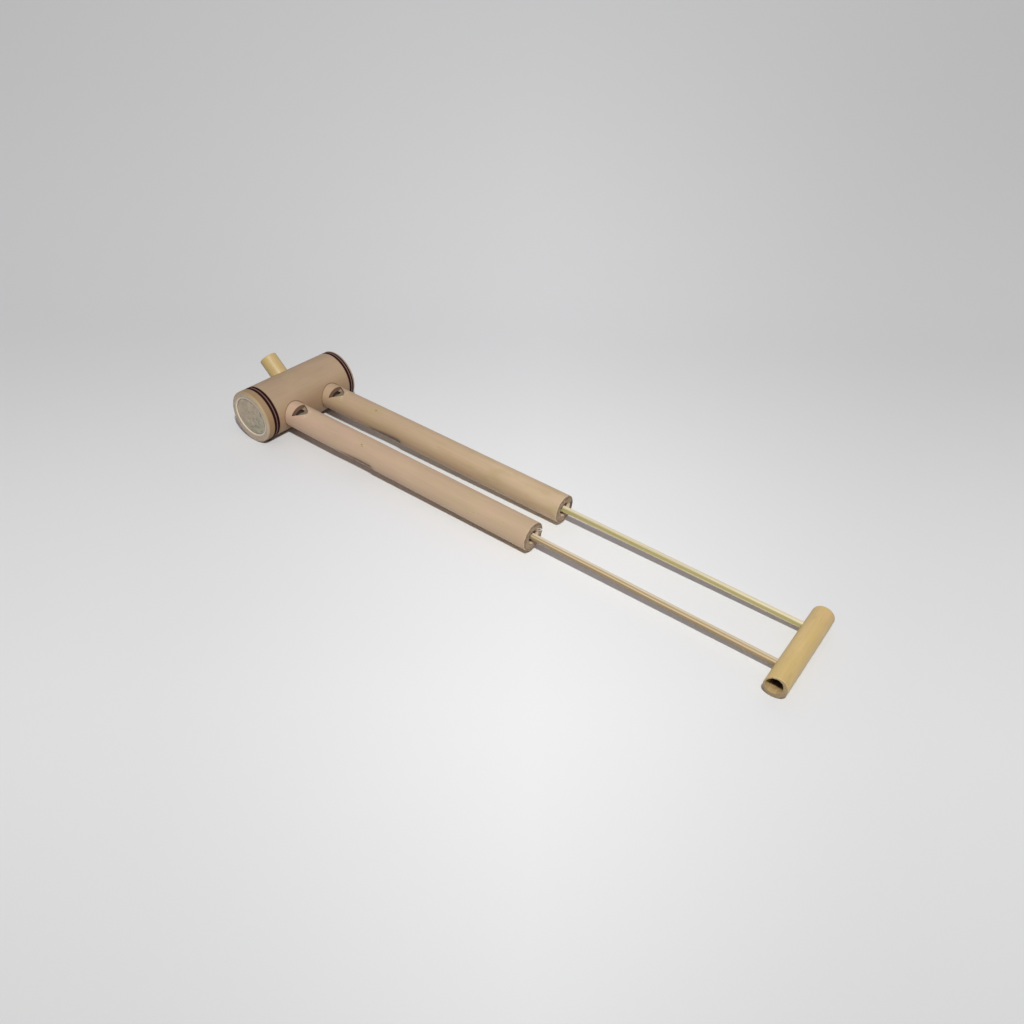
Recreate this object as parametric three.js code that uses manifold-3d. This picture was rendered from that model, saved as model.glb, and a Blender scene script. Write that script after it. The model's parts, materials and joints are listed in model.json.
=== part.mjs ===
// A twin-pipe bamboo slide whistle. A blowpipe feeds a wind chamber that lies across two whistle
// pipes. A slide of two rods joined by a crossbar handle works a piston in each pipe.
// Millimetres, +Z up, +X along the pipes towards the handle, +Y across them. Every piece is drawn
// around the middle of the chamber, and the last lines move the origin to the bottom of the whole.
import * as THREE from "three";
import { mergeVertices } from "three/addons/utils/BufferGeometryUtils.js";
import Module from "manifold-3d";

const wasm = await Module();
wasm.setup();

// Wind chamber: a thick bamboo tube along Y, plugged at both ends.
const CHAMBER_RADIUS = 17.5;
const CHAMBER_BORE = 12.9;
const CHAMBER_NEAR_Y = -38.3;
const CHAMBER_FAR_Y = 37.3;
const BORE_SHIFT_X = 0.6; // a bamboo's wall isn't equally thick all round
const BORE_SHIFT_Z = 0.8;
const BORE_OVAL_X = 1.046; // and its hollow is a little wider than high
const BORE_OVAL_Z = 0.938;
const CHAMBER_EDGE = 0.8; // rounding of the outer edge at each end
const PLUG_RADIUS = 12.7;
const PLUG_THICKNESS = 5.0;
const PLUG_RECESS = 0.4;

// Scorched rings: near each end, a pair of shallow grooves burnt in with a narrow land between.
const SCORCH_CENTRES = [-30.8, 34.4];
const SCORCH_SPACING = 2.2; // between the middles of a pair
const SCORCH_WIDTH = 1.6;
const SCORCH_DEPTH = 0.25;

// Blowpipe: a short thin tube set in the chamber's back, pointing up and away from the pipes.
const BLOWPIPE_RADIUS = 5.95;
const BLOWPIPE_BORE = 3.8;
const BLOWPIPE_INNER = 11.2; // distances of its two ends from the chamber's axis
const BLOWPIPE_TIP = 30.8;
const BLOWPIPE_RISE = THREE.MathUtils.degToRad(41.6);
const BLOWPIPE_Y = -1.4;

// Whistle pipes: along X at y = -PIPE_Y and +PIPE_Y, their roots in holes in the chamber's wall.
// The pipes and the slide lie slightly below the chamber's axis.
const PIPE_Y = 15.7;
const PIPE_Z = -0.8;
const PIPE_BORE = 3.9;
const ROOT_BORE = 5.3; // wider from the root to the window, where the block sits
const PIPE_ROOT_X = 9.8;
const PIPE_EDGE = 0.5; // rounding of the mouth's outer edge
const NEAR_PIPE = { mouthX: 209.7, rootRadius: 8.45, mouthRadius: 8.65, grooveEndX: 94.0 };
const FAR_PIPE = { mouthX: 208.7, rootRadius: 8.35, mouthRadius: 8.5, grooveEndX: 88.0 };

// Window: a straight cut across the pipe and a ramp that falls towards it, down into the bore.
const WINDOW_CUT_X = 22.7;
const WINDOW_APEX_X = 33.0;
const WINDOW_HALF_WIDTH = 5.8;
const RAMP_FOOT_X = 25.4;
const RAMP_FOOT_HEIGHT = 4.4;
const WINDOW_TURN = THREE.MathUtils.degToRad(18); // from the top towards -Y

// Fipple block: a plug in the pipe's root that leaves a crescent-shaped windway over its top.
const BLOCK_RADIUS = 4.75;
const BLOCK_DROP = 0.4; // it lies against the bottom, so the air passes over its top

// Bud groove: the natural hollow under each pipe, deepening slowly and ending abruptly at a scar.
const BUD_GROOVE_LENGTH = 38.0;
const BUD_GROOVE_ROUNDNESS = 5.0; // radius of the hollow's cross-section at its deep end
const BUD_GROOVE_DEPTH = 1.4;
const BUD_SCAR_LENGTH = 2.0; // of the steep end
const BUD_TURN = THREE.MathUtils.degToRad(130); // from the top towards -Y

// Slide: a crossbar handle along Y, two rods and two pistons, drawn pulled out.
const HANDLE_RADIUS = 5.9;
const HANDLE_BORE = 4.1;
const HANDLE_BORE_SHIFT_X = -0.7; // its wall isn't equally thick all round either
const HANDLE_BORE_SHIFT_Z = 0.7;
const HANDLE_X = 356.5;
const HANDLE_NEAR_Y = -31.6;
const HANDLE_FAR_Y = 29.3;
const HANDLE_EDGE = 0.6;
const ROD_RADIUS = 2.0;
const ROD_END_X = 354.1;
const PISTON_X = 184.0; // inner face, which is also where the rods end
const PISTON_LENGTH = 12.0;
const PISTON_CLEARANCE = 0.05;

const FIT_GAP = 0.3; // clearance left around every piece that is glued or pushed into another
const WIDE = 60; // facets round the chamber and what shares its axis
const SLIM = 36; // facets round the pipes and everything slimmer
const OVERSHOOT = 2; // how far a cutter runs past the surface that it opens

const bambooTan = { color: 0xb49c80, roughness: 0.62, metalness: 0 };
const bambooGold = { color: 0xc8ac73, roughness: 0.45, metalness: 0 };
const rodWood = { color: 0xd2be96, roughness: 0.55, metalness: 0 };
const plugFibre = { color: 0x98938a, roughness: 0.9, metalness: 0 };
const blockWood = { color: 0xbf9e70, roughness: 0.7, metalness: 0 };
const pistonRubber = { color: 0x2b2623, roughness: 0.8, metalness: 0 };

// A closed three.js geometry as a solid that can be joined and cut.
function solidOf(geometry) {
  const bare = geometry.clone();
  bare.deleteAttribute("normal");
  bare.deleteAttribute("uv");
  const merged = mergeVertices(bare, 1e-4);
  const vertProperties = new Float32Array(merged.attributes.position.array);
  const triVerts = new Uint32Array(merged.index.array);
  return new wasm.Manifold(new wasm.Mesh({ numProp: 3, vertProperties, triVerts }));
}

// The solid's surface as a three.js geometry.
function geometryOf(solid) {
  const mesh = solid.getMesh();
  const geometry = new THREE.BufferGeometry();
  geometry.setAttribute("position", new THREE.BufferAttribute(new Float32Array(mesh.vertProperties), 3));
  geometry.setIndex(new THREE.BufferAttribute(new Uint32Array(mesh.triVerts), 1));
  geometry.computeVertexNormals();
  return geometry;
}

function cut(geometry, cutters) {
  let solid = solidOf(geometry);
  for (const cutter of cutters) {
    solid = solid.subtract(solidOf(cutter));
  }
  return geometryOf(solid);
}

// Revolves [radius, distance] points about the Y axis; a first point repeated last closes a tube.
function revolve(points, facets) {
  const outline = points.map(([radius, distance]) => new THREE.Vector2(radius, distance));
  return new THREE.LatheGeometry(outline, facets);
}

// The same about the X axis, with distances counted along +X.
function revolveAlongX(points, facets) {
  return revolve(points, facets).rotateZ(-Math.PI / 2);
}

function solidRod(radius, from, to) {
  return [[0, from], [radius, from], [radius, to], [0, to]];
}

function tube(bore, outer, from, to) {
  return [[bore, from], [outer, from], [outer, to], [bore, to], [bore, from]];
}

// A quarter-round edge between two perpendicular faces, as [radius, distance] points.
function roundedEdge(centreRadius, centreDistance, size, startAngle, steps) {
  const points = [];
  for (let step = 0; step <= steps; step += 1) {
    const angle = startAngle + (step / steps) * (Math.PI / 2);
    points.push([centreRadius + size * Math.cos(angle), centreDistance + size * Math.sin(angle)]);
  }
  return points;
}

function makeMesh(name, geometry, look) {
  const mesh = new THREE.Mesh(geometry, new THREE.MeshStandardMaterial(look));
  mesh.name = name;
  return mesh;
}

// A bar along Y with rounded ends and, between them, any shallow grooves at the given places.
function roundedBar(outer, nearY, farY, edge, grooveCentres) {
  const points = [[0, nearY]];
  points.push(...roundedEdge(outer - edge, nearY + edge, edge, -Math.PI / 2, 3));
  for (const centre of grooveCentres) {
    const half = SCORCH_WIDTH / 2;
    points.push([outer, centre - half], [outer - SCORCH_DEPTH, centre], [outer, centre + half]);
  }
  points.push(...roundedEdge(outer - edge, farY - edge, edge, 0, 3));
  points.push([0, farY]);
  return points;
}

/** Turns a round piece into the oval of the chamber's hollow and moves it to the hollow's middle. */
function fitToHollow(piece) {
  return piece.scale(BORE_OVAL_X, 1, BORE_OVAL_Z).translate(BORE_SHIFT_X, 0, BORE_SHIFT_Z);
}

function windChamber() {
  const half = SCORCH_SPACING / 2;
  const grooves = SCORCH_CENTRES.flatMap((centre) => [centre - half, centre + half]);
  const body = revolve(
    roundedBar(CHAMBER_RADIUS, CHAMBER_NEAR_Y, CHAMBER_FAR_Y, CHAMBER_EDGE, grooves),
    WIDE,
  );
  const bore = solidRod(CHAMBER_BORE, CHAMBER_NEAR_Y - OVERSHOOT, CHAMBER_FAR_Y + OVERSHOOT);
  const boreCutter = fitToHollow(revolve(bore, WIDE));
  const wallEnd = CHAMBER_RADIUS + OVERSHOOT;
  const nearHole = revolveAlongX(solidRod(NEAR_PIPE.rootRadius + FIT_GAP, 0, wallEnd), SLIM);
  nearHole.translate(0, -PIPE_Y, PIPE_Z);
  const farHole = revolveAlongX(solidRod(FAR_PIPE.rootRadius + FIT_GAP, 0, wallEnd), SLIM);
  farHole.translate(0, PIPE_Y, PIPE_Z);
  const blowHole = blowpipeDirection(solidRod(BLOWPIPE_RADIUS + FIT_GAP, 0, wallEnd));
  return cut(body, [boreCutter, nearHole, farHole, blowHole]);
}

// Revolves points about the blowpipe's axis, which leaves the chamber's axis upwards and backwards.
function blowpipeDirection(points) {
  return revolveAlongX(points, SLIM).rotateY(-(Math.PI - BLOWPIPE_RISE)).translate(0, BLOWPIPE_Y, 0);
}

function blowpipe() {
  return blowpipeDirection(tube(BLOWPIPE_BORE, BLOWPIPE_RADIUS, BLOWPIPE_INNER, BLOWPIPE_TIP));
}

function endPlug(outerFaceY, inward) {
  const start = Math.min(outerFaceY, outerFaceY + inward * PLUG_THICKNESS);
  const disc = revolve(solidRod(PLUG_RADIUS, start, start + PLUG_THICKNESS), WIDE);
  return fitToHollow(disc);
}

// The window's cutter: a wedge under the ramp, narrowed to a half ellipse seen from above.
function windowCutter() {
  const slope = (NEAR_PIPE.rootRadius - RAMP_FOOT_HEIGHT) / (WINDOW_APEX_X - RAMP_FOOT_X);
  const top = NEAR_PIPE.mouthRadius + OVERSHOOT;
  const wedge = new THREE.Shape();
  wedge.moveTo(WINDOW_CUT_X, RAMP_FOOT_HEIGHT);
  wedge.lineTo(RAMP_FOOT_X, RAMP_FOOT_HEIGHT);
  wedge.lineTo(RAMP_FOOT_X + (top - RAMP_FOOT_HEIGHT) / slope, top);
  wedge.lineTo(WINDOW_CUT_X, top);
  const depth = 2 * (WINDOW_HALF_WIDTH + OVERSHOOT);
  const wedgeSolid = new THREE.ExtrudeGeometry(wedge, { depth, bevelEnabled: false });
  wedgeSolid.translate(0, 0, -depth / 2).rotateX(Math.PI / 2);
  const outline = new THREE.Shape();
  const reach = WINDOW_APEX_X - WINDOW_CUT_X;
  outline.absellipse(WINDOW_CUT_X, 0, reach, WINDOW_HALF_WIDTH, 0, 2 * Math.PI, false);
  const column = new THREE.ExtrudeGeometry(outline, {
    depth: top + OVERSHOOT,
    bevelEnabled: false,
    curveSegments: 12,
  });
  const cutter = solidOf(wedgeSolid).intersect(solidOf(column));
  return geometryOf(cutter).rotateX(WINDOW_TURN);
}

// The bud groove's cutter: a long cone lying along the pipe's underside, with a short steep end.
// Its thin end only touches the pipe, and it sinks deeper as it widens.
function budGrooveCutter(pipe) {
  const large = BUD_GROOVE_ROUNDNESS;
  const small = large - BUD_GROOVE_DEPTH;
  const start = pipe.grooveEndX - BUD_GROOVE_LENGTH;
  const deepest = pipe.grooveEndX - BUD_SCAR_LENGTH;
  const end = pipe.grooveEndX;
  const outline = [[0, start], [small, start], [large, deepest], [small, end], [0, end]];
  const surface = (pipe.rootRadius + pipe.mouthRadius) / 2;
  return revolveAlongX(outline, SLIM).translate(0, 0, surface + small).rotateX(BUD_TURN);
}

function whistlePipe(pipe) {
  const body = revolveAlongX(
    [
      [ROOT_BORE, PIPE_ROOT_X],
      [pipe.rootRadius, PIPE_ROOT_X],
      [pipe.rootRadius, CHAMBER_RADIUS],
      ...roundedEdge(pipe.mouthRadius - PIPE_EDGE, pipe.mouthX - PIPE_EDGE, PIPE_EDGE, 0, 2),
      [PIPE_BORE, pipe.mouthX],
      [PIPE_BORE, RAMP_FOOT_X],
      [ROOT_BORE, RAMP_FOOT_X],
      [ROOT_BORE, PIPE_ROOT_X],
    ],
    SLIM,
  );
  return cut(body, [windowCutter(), budGrooveCutter(pipe)]);
}

// A round plug that is lowered away from the window.
function fippleBlock() {
  const plug = revolveAlongX(solidRod(BLOCK_RADIUS, PIPE_ROOT_X, WINDOW_CUT_X - FIT_GAP), SLIM);
  return plug.translate(0, 0, -BLOCK_DROP).rotateX(WINDOW_TURN);
}

function rod() {
  return revolveAlongX(solidRod(ROD_RADIUS, PISTON_X, ROD_END_X), SLIM);
}

function piston() {
  const outer = PIPE_BORE - PISTON_CLEARANCE;
  return revolveAlongX(tube(ROD_RADIUS + FIT_GAP, outer, PISTON_X, PISTON_X + PISTON_LENGTH), SLIM);
}

function handle() {
  const bar = revolve(roundedBar(HANDLE_RADIUS, HANDLE_NEAR_Y, HANDLE_FAR_Y, HANDLE_EDGE, []), SLIM);
  const bore = solidRod(HANDLE_BORE, HANDLE_NEAR_Y - OVERSHOOT, HANDLE_FAR_Y + OVERSHOOT);
  const boreCutter = revolve(bore, SLIM).translate(HANDLE_BORE_SHIFT_X, 0, HANDLE_BORE_SHIFT_Z);
  const holes = [-PIPE_Y, PIPE_Y].map((y) => {
    const hole = revolveAlongX(solidRod(ROD_RADIUS + FIT_GAP, -HANDLE_RADIUS - OVERSHOOT, 0), SLIM);
    return hole.translate(0, y, 0);
  });
  return cut(bar, [boreCutter, ...holes]).translate(HANDLE_X, 0, PIPE_Z);
}

const whistle = new THREE.Group();
whistle.add(
  makeMesh("wind_chamber", windChamber(), bambooTan),
  makeMesh("near_end_plug", endPlug(CHAMBER_NEAR_Y + PLUG_RECESS, 1), plugFibre),
  makeMesh("far_end_plug", endPlug(CHAMBER_FAR_Y - PLUG_RECESS, -1), plugFibre),
  makeMesh("blowpipe", blowpipe(), bambooGold),
  makeMesh("handle", handle(), bambooGold),
);

for (const [side, y, pipe] of [["near", -PIPE_Y, NEAR_PIPE], ["far", PIPE_Y, FAR_PIPE]]) {
  const voice = new THREE.Group();
  voice.position.set(0, y, PIPE_Z);
  voice.add(
    makeMesh(`${side}_pipe`, whistlePipe(pipe), bambooTan),
    makeMesh(`${side}_fipple_block`, fippleBlock(), blockWood),
    makeMesh(`${side}_rod`, rod(), rodWood),
    makeMesh(`${side}_piston`, piston(), pistonRubber),
  );
  whistle.add(voice);
}

// The origin goes under the middle of the whole, level with the bottom of the chamber.
const tipBackX = -(BLOWPIPE_TIP * Math.cos(BLOWPIPE_RISE) + BLOWPIPE_RADIUS * Math.sin(BLOWPIPE_RISE));
const middleX = (tipBackX + HANDLE_X + HANDLE_RADIUS) / 2;
const middleY = (CHAMBER_NEAR_Y + CHAMBER_FAR_Y) / 2;
whistle.position.set(-middleX, -middleY, CHAMBER_RADIUS);

const part = new THREE.Group();
part.add(whistle);

export default part;
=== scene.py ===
"""A twin-pipe bamboo slide whistle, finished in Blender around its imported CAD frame.

Every piece is built here in mesh code, in millimetres, around the axis that its CAD node has, and
replaces that node. Each material works out its pattern from the distance along and around that
axis, so that fibres run lengthwise on the outside and end as dots on a cut face.
"""

import json
import math
import random

import bmesh
import bpy
from mathutils import Matrix, Vector
from mathutils.noise import noise


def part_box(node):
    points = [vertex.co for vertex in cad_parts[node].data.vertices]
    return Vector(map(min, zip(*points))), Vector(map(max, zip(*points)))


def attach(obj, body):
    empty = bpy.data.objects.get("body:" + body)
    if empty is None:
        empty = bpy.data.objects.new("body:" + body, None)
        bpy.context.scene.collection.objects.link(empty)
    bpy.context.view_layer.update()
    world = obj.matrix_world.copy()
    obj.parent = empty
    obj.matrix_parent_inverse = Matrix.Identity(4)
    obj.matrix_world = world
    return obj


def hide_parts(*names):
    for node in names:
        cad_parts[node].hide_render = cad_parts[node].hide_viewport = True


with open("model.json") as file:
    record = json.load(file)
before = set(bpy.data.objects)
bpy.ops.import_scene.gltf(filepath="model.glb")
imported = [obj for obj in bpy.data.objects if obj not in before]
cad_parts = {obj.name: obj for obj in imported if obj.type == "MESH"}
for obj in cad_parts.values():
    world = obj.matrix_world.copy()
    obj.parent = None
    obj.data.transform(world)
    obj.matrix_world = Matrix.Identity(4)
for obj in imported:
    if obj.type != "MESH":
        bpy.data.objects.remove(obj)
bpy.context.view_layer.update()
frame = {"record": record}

MM = 0.001
X_AXIS = Vector((1, 0, 0))
Y_AXIS = Vector((0, 1, 0))
Z_AXIS = Vector((0, 0, 1))

# Wind chamber
CHAMBER_BORE = 12.9
CHAMBER_NEAR_EDGE = 1.5  # rounding of the outer edge at each end
CHAMBER_FAR_EDGE = 0.9
BORE_OVAL = Vector((0.938, 1.046))  # its hollow is lower and wider than a circle: (top, side)
CHAMBER_BORE_EDGE = 0.45  # bevel between the end rim and the disc
SCORCH_FROM_NEAR_END = 7.5  # middle of each scorched pair of lines
SCORCH_FROM_FAR_END = 2.9
SCORCH_SPACING = 2.4
SCORCH_WIDTH = 1.6
SCORCH_DEPTH = 0.25
WALL_REACH = (2, 24)  # from the chamber's axis, a stretch that holds its whole wall
HOLE_PLAY = 0.08

# Whistle pipes, with distances counted from the chamber's axis
PIPE_BORE = 3.9
ROOT_BORE = 5.3
WINDOW_CUT = 22.7
WINDOW_APEX = 33.0
WINDOW_HALF_WIDTH = 5.8
RAMP_FOOT = 25.4
RAMP_FOOT_HEIGHT = 4.4
WINDOW_TURN = math.radians(18)
BUD_TURN = math.radians(122)
BUD_LENGTH = 42.0
BUD_DEPTH = 1.1
BUD_END = {"near": 94.0, "far": 88.0}
FLARE_TURN = {"near": math.radians(-60), "far": math.radians(-90)}
FLARE_DEPTH = 1.2
FLARE_WIDTH = {"near": 0.5, "far": 1.0}

# Split in the near pipe's mouth: two places, as (side, top) from the pipe's axis, that it runs through
SPLIT_INNER = Vector((-3.4, 3.1))
SPLIT_OUTER = Vector((-9.6, -0.9))
SPLIT_WIDTH = 0.95
SPLIT_LENGTH = 3.6

# Rods, pistons, handle and blowpipe
ROD_RADIUS = 2.0
PISTON_CLEARANCE = 0.06
HANDLE_BORE = 4.1
HANDLE_BORE_SHIFT = Vector((0.7, -0.7))  # towards its top and its side
BLOWPIPE_BORE = 3.8
BLOWPIPE_ROOT = 11.2  # distance of its inner end from the chamber's axis


# ---- mesh building

class Axis:
    """A line with a top direction: places are (along, radius, angle), angles counted from the top."""

    def __init__(self, centre, along, top):
        self.centre = Vector(centre)
        self.along = Vector(along).normalized()
        self.top = Vector(top).normalized()
        self.side = self.along.cross(self.top).normalized()

    def point(self, along, height, angle, across=0.0):
        """A point along the axis, then out from it at this angle, then across that direction."""
        upwards = math.cos(angle) * self.top + math.sin(angle) * self.side
        sideways = math.cos(angle) * self.side - math.sin(angle) * self.top
        return self.centre + MM * (along * self.along + height * upwards + across * sideways)


def smooth(value, low, high):
    """0 below low, 1 above high and a soft step between them."""
    share = min(1.0, max(0.0, (value - low) / (high - low)))
    return share * share * (3 - 2 * share)


def turn_between(angle, middle):
    """How far angle is from middle, in radians, the short way round."""
    return abs((angle - middle + math.pi) % (2 * math.pi) - math.pi)


def off_centre(radius, angle, shift, oval=Vector((1, 1))):
    """Distance from the axis, at an angle, of an oval whose middle is shifted by (top, side)."""
    ray = Vector((math.cos(angle) / oval.x, math.sin(angle) / oval.y))
    middle = Vector((shift.x / oval.x, shift.y / oval.y))
    towards = ray.dot(middle)
    spread = towards ** 2 - ray.length_squared * (middle.length_squared - radius ** 2)
    return (towards + math.sqrt(spread)) / ray.length_squared


def rounded_corner(before, corner, after, size):
    """Points that replace a corner of an outline by an arc that starts and ends size away from it."""
    start = corner + (before - corner).normalized() * size
    end = corner + (after - corner).normalized() * size
    points = []
    for step in range(6):
        share = step / 5
        curve = start.lerp(corner, share).lerp(corner.lerp(end, share), share)
        points.append(curve)
    return points


def outline(corners, closed=True):
    """Points through (along, radius, rounding, step) corners; step divides the side that follows."""
    places = [Vector(corner[:2]) for corner in corners]
    count = len(corners)
    bends = []
    for index, (place, corner) in enumerate(zip(places, corners)):
        if corner[2] == 0:
            bends.append([place])
        else:
            before = places[index - 1]
            after = places[(index + 1) % count]
            bends.append(rounded_corner(before, place, after, corner[2]))
    points = []
    for index, bend in enumerate(bends):
        points.extend(bend)
        if not closed and index == count - 1:
            break
        start = bend[-1]
        end = bends[(index + 1) % count][0]
        pieces = max(1, math.ceil((end - start).length / corners[index][3]))
        points.extend(start.lerp(end, step / pieces) for step in range(1, pieces))
    return [tuple(point) for point in points]


def mesh_object(name, mesh_data, sharp_angle=35):
    """A scene object for a bmesh, smooth except across edges that bend more than sharp_angle."""
    bmesh.ops.recalc_face_normals(mesh_data, faces=mesh_data.faces)
    mesh = bpy.data.meshes.new(name)
    mesh_data.to_mesh(mesh)
    mesh_data.free()
    piece = bpy.data.objects.new(name, mesh)
    bpy.context.scene.collection.objects.link(piece)
    shade(piece, sharp_angle)
    return piece


def shade(piece, sharp_angle):
    mesh = piece.data
    mesh.polygons.foreach_set("use_smooth", [True] * len(mesh.polygons))
    mesh.set_sharp_from_angle(angle=math.radians(sharp_angle))


def bridge(mesh_data, rings):
    """Adds the faces between each ring of vertices and the next; a ring of one vertex is a point."""
    for first, second in zip(rings, rings[1:]):
        count = max(len(first), len(second))
        for step in range(count):
            after = (step + 1) % count
            corners = (first[step % len(first)], first[after % len(first)],
                       second[after % len(second)], second[step % len(second)])
            mesh_data.faces.new(tuple(dict.fromkeys(corners)))


def revolve(name, axis, points, facets, shape=None, closed=True, sharp_angle=35):
    """Turns an outline about an axis; shape(along, radius, angle) gives each point's final place."""
    mesh_data = bmesh.new()
    rings = []
    for along, radius in points:
        if not closed and radius == 0:
            rings.append([mesh_data.verts.new(axis.point(along, 0, 0))])
            continue
        ring = []
        for step in range(facets):
            angle = 2 * math.pi * step / facets
            place = shape(along, radius, angle) if shape else (along, radius)
            ring.append(mesh_data.verts.new(axis.point(place[0], place[1], angle)))
        rings.append(ring)
    bridge(mesh_data, rings)
    if closed:
        bridge(mesh_data, (rings[-1], rings[0]))
    return mesh_object(name, mesh_data, sharp_angle)


def cut(piece, cutters):
    """Takes the cutters' shapes out of the piece, then removes the cutters."""
    for cutter in cutters:
        boolean = piece.modifiers.new("cut", "BOOLEAN")
        boolean.object = cutter
        boolean.operation = "DIFFERENCE"
        boolean.solver = "EXACT"
    bpy.context.view_layer.update()
    graph = bpy.context.evaluated_depsgraph_get()
    result = bpy.data.meshes.new_from_object(piece.evaluated_get(graph))
    piece.modifiers.clear()
    piece.data = result
    for cutter in cutters:
        bpy.data.objects.remove(cutter)
    mesh_data = bmesh.new()
    mesh_data.from_mesh(result)
    bmesh.ops.remove_doubles(mesh_data, verts=mesh_data.verts, dist=0.002 * MM)
    bmesh.ops.dissolve_degenerate(mesh_data, edges=mesh_data.edges, dist=0.002 * MM)
    mesh_data.to_mesh(result)
    mesh_data.free()
    shade(piece, 35)


def drill(name, axis, start, end, radius, facets):
    """A plain cylinder to cut with."""
    corners = ((start, 0), (start, radius), (end, radius), (end, 0))
    return revolve(name, axis, corners, facets, closed=False)


def waviness(along, angle, across_size, along_size, seed):
    """A slow natural unevenness between -1 and 1 of a surface around an axis."""
    turn = Vector((math.cos(angle), math.sin(angle))) / across_size
    return noise(Vector((along / along_size, turn.x + 10 * seed, turn.y)))


# ---- material building

def colour(red, green, blue):
    """A screen colour, 0 to 255, as the linear colour that materials use."""
    values = [channel / 255 for channel in (red, green, blue)]
    linear = [v / 12.92 if v <= 0.04045 else ((v + 0.055) / 1.055) ** 2.4 for v in values]
    return (*linear, 1.0)


class Number:
    """An output inside a node tree. Arithmetic with it adds Math nodes."""

    def __init__(self, socket):
        self.socket = socket

    def math(self, operation, *others):
        inputs = dict(enumerate((self, *others)))
        return add_node(self.socket.id_data, "ShaderNodeMath", 0, inputs, operation=operation)

    def __add__(self, other):
        return self.math("ADD", other)

    def __sub__(self, other):
        return self.math("SUBTRACT", other)

    def __mul__(self, other):
        return self.math("MULTIPLY", other)

    def __truediv__(self, other):
        return self.math("DIVIDE", other)

    def inverse(self):
        """1 - self, for masks."""
        return (self * -1) + 1

    def step(self, low, high):
        """0 below low, 1 above high and soft between; the other way round if low is above high."""
        ends = (low, high, 0, 1) if low < high else (high, low, 1, 0)
        inputs = dict(zip(("From Min", "From Max", "To Min", "To Max"), ends), Value=self)
        tree = self.socket.id_data
        return add_node(tree, "ShaderNodeMapRange", "Result", inputs, interpolation_type="SMOOTHSTEP")

    def band(self, middle, half_width, softness):
        """1 within half_width of middle, falling to 0 over softness."""
        return (self - middle).math("ABSOLUTE").step(half_width + softness, half_width)


def put(value, socket):
    if isinstance(value, Number):
        socket.id_data.links.new(value.socket, socket)
    else:
        socket.default_value = value


def add_node(tree, kind, output, inputs, **settings):
    """Adds a node with these settings, and with values or Numbers as inputs, and gives an output."""
    node = tree.nodes.new(kind)
    for setting, value in settings.items():
        setattr(node, setting, value)
    for slot, value in inputs.items():
        put(value, node.inputs[slot])
    return Number(node.outputs[output])


def blend(first, second, factor):
    """first where factor is 0 and second where it is 1; both are numbers."""
    return factor.inverse() * first + factor * second


def most(first, *others):
    """The largest of several masks at each place."""
    for other in others:
        first = first.math("MAXIMUM", other)
    return first


def span(first, second):
    """How far the place (first, second) is from (0, 0)."""
    return (first * first + second * second).math("SQRT")


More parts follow.
